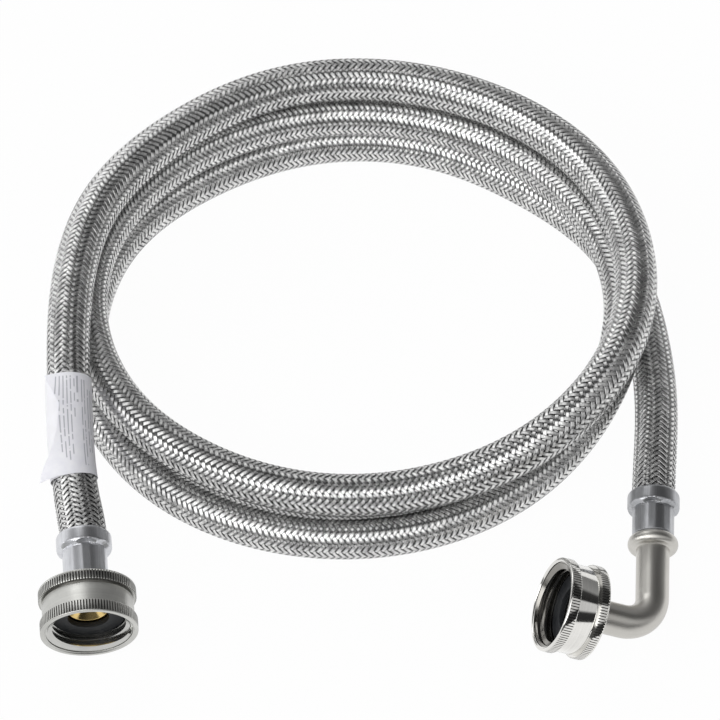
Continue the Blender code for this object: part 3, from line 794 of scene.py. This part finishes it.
# What stands for what
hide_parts("hose_braid")
for piece in plaits:
    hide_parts("hose_braid")
    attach(piece, "hose")
for piece, node, slot, body in (
        (core, "hose_braid", "liner", "hose"),
        (straightNut, "straight_nut", "nut", "straight_swivel"),
        (straightThread, "straight_nut", "nut", "straight_swivel"),
        (elbowNut, "elbow_nut", "nut", "elbow_swivel"),
        (elbowThread, "elbow_nut", "nut", "elbow_swivel"),
        (straightWasher, "straight_washer", "seal", "hose"),
        (elbowWasher, "elbow_washer", "seal", "hose"),
        (straightInsert, "straight_insert", "insert", "hose"),
        (straightFerrule, "straight_ferrule", "ferrule", "hose"),
        (elbowFerrule, "elbow_ferrule", "ferrule", "hose"),
        (elbowTube, "elbow_tube", "elbow", "hose"),
        (elbowFlange, "elbow_tube", "elbow", "hose"),
        (paperLabel, "hose_label", "label", "hose")):
    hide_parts(node)
    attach(piece, body)


# Floor, backdrop and lights
studio = {
    "floorColour": (0.92, 0.92, 0.92), "floorGlow": 0.97, "left": 1.42, "right": 0.35,
    "arch": [(0.0, 0.62), (0.23, 0.85), (0.30, 0.12), (0.53, 0.06),
             (0.57, 1.95), (0.79, 1.95), (0.84, 0.10), (1.0, 0.08)],
}


def addFloor():
    deselectAll()
    bpy.ops.mesh.primitive_plane_add(size=12, location=(0, 0, -0.0002))
    floor = bpy.context.active_object
    floor.name = "studioFloor"
    look = Look("floorWhite")
    look.value("Roughness", 0.9)
    look.value("Base Color", (*studio["floorColour"], 1))
    path = look.node("ShaderNodeLightPath")
    glow = look.node("ShaderNodeEmission")
    mix = look.node("ShaderNodeMixShader")
    seen = look.math("MAXIMUM", path.outputs["Is Camera Ray"], path.outputs["Is Glossy Ray"])
    look.join(look.math("MULTIPLY", seen, studio["floorGlow"]), mix.inputs[0])
    look.join(look.shader.outputs[0], mix.inputs[1])
    look.join(glow.outputs[0], mix.inputs[2])
    look.join(mix.outputs[0], look.tree.nodes["Material Output"].inputs["Surface"])
    floor.data.materials.append(look.material)


def addWorld():
    # An arch of light from the far side, over the top and down to the near side
    world = bpy.data.worlds.new("studio")
    bpy.context.scene.world = world
    world.use_nodes = True
    tree = world.node_tree
    tree.nodes.clear()
    out = tree.nodes.new("ShaderNodeOutputWorld")
    path = tree.nodes.new("ShaderNodeLightPath")
    white = tree.nodes.new("ShaderNodeBackground")
    room = tree.nodes.new("ShaderNodeBackground")
    coordinates = tree.nodes.new("ShaderNodeTexCoord")
    split = tree.nodes.new("ShaderNodeSeparateXYZ")
    tree.links.new(coordinates.outputs["Generated"], split.inputs[0])
    turn = tree.nodes.new("ShaderNodeMath")
    turn.operation = "ARCTAN2"
    tree.links.new(split.outputs[2], turn.inputs[0])
    tree.links.new(split.outputs[1], turn.inputs[1])
    share = tree.nodes.new("ShaderNodeMath")
    share.operation = "DIVIDE"
    share.inputs[1].default_value = pi
    tree.links.new(turn.outputs[0], share.inputs[0])
    ramp = tree.nodes.new("ShaderNodeValToRGB")
    tree.links.new(share.outputs[0], ramp.inputs[0])
    line = ramp.color_ramp
    while len(line.elements) < len(studio["arch"]):
        line.elements.new(0.5)
    for element, (where, grey) in zip(line.elements, studio["arch"]):
        element.position = where
        element.color = (grey, grey, grey, 1)
    # Lighter to the left and darker to the right
    sides = tree.nodes.new("ShaderNodeMapRange")
    sides.interpolation_type = "SMOOTHSTEP"
    for socket, number in (("From Min", -0.6), ("From Max", 0.5), ("To Min", studio["left"]),
                           ("To Max", studio["right"])):
        sides.inputs[socket].default_value = number
    tree.links.new(split.outputs[0], sides.inputs["Value"])
    tree.links.new(ramp.outputs[0], room.inputs[0])
    tree.links.new(sides.outputs[0], room.inputs[1])
    mix = tree.nodes.new("ShaderNodeMixShader")
    tree.links.new(path.outputs["Is Camera Ray"], mix.inputs[0])
    tree.links.new(room.outputs[0], mix.inputs[1])
    tree.links.new(white.outputs[0], mix.inputs[2])
    tree.links.new(mix.outputs[0], out.inputs[0])
    white.inputs[0].default_value = (1, 1, 1, 1)


def addSoftbox(name, location, size, power, aim):
    light = bpy.data.lights.new(name, "AREA")
    light.shape = "RECTANGLE"
    light.size, light.size_y = size
    light.energy = power
    obj = bpy.data.objects.new(name, light)
    bpy.context.scene.collection.objects.link(obj)
    obj.location = location
    obj.rotation_euler = (Vector(aim) - Vector(location)).to_track_quat("-Z", "Y").to_euler()


addFloor()
addWorld()
addSoftbox("stripSoftbox", (-0.50, 0.80, 0.96), (0.50, 0.85), 1.5, (0.0, 0.08, 0.0))

bpy.context.scene.view_settings.view_transform = "Standard"
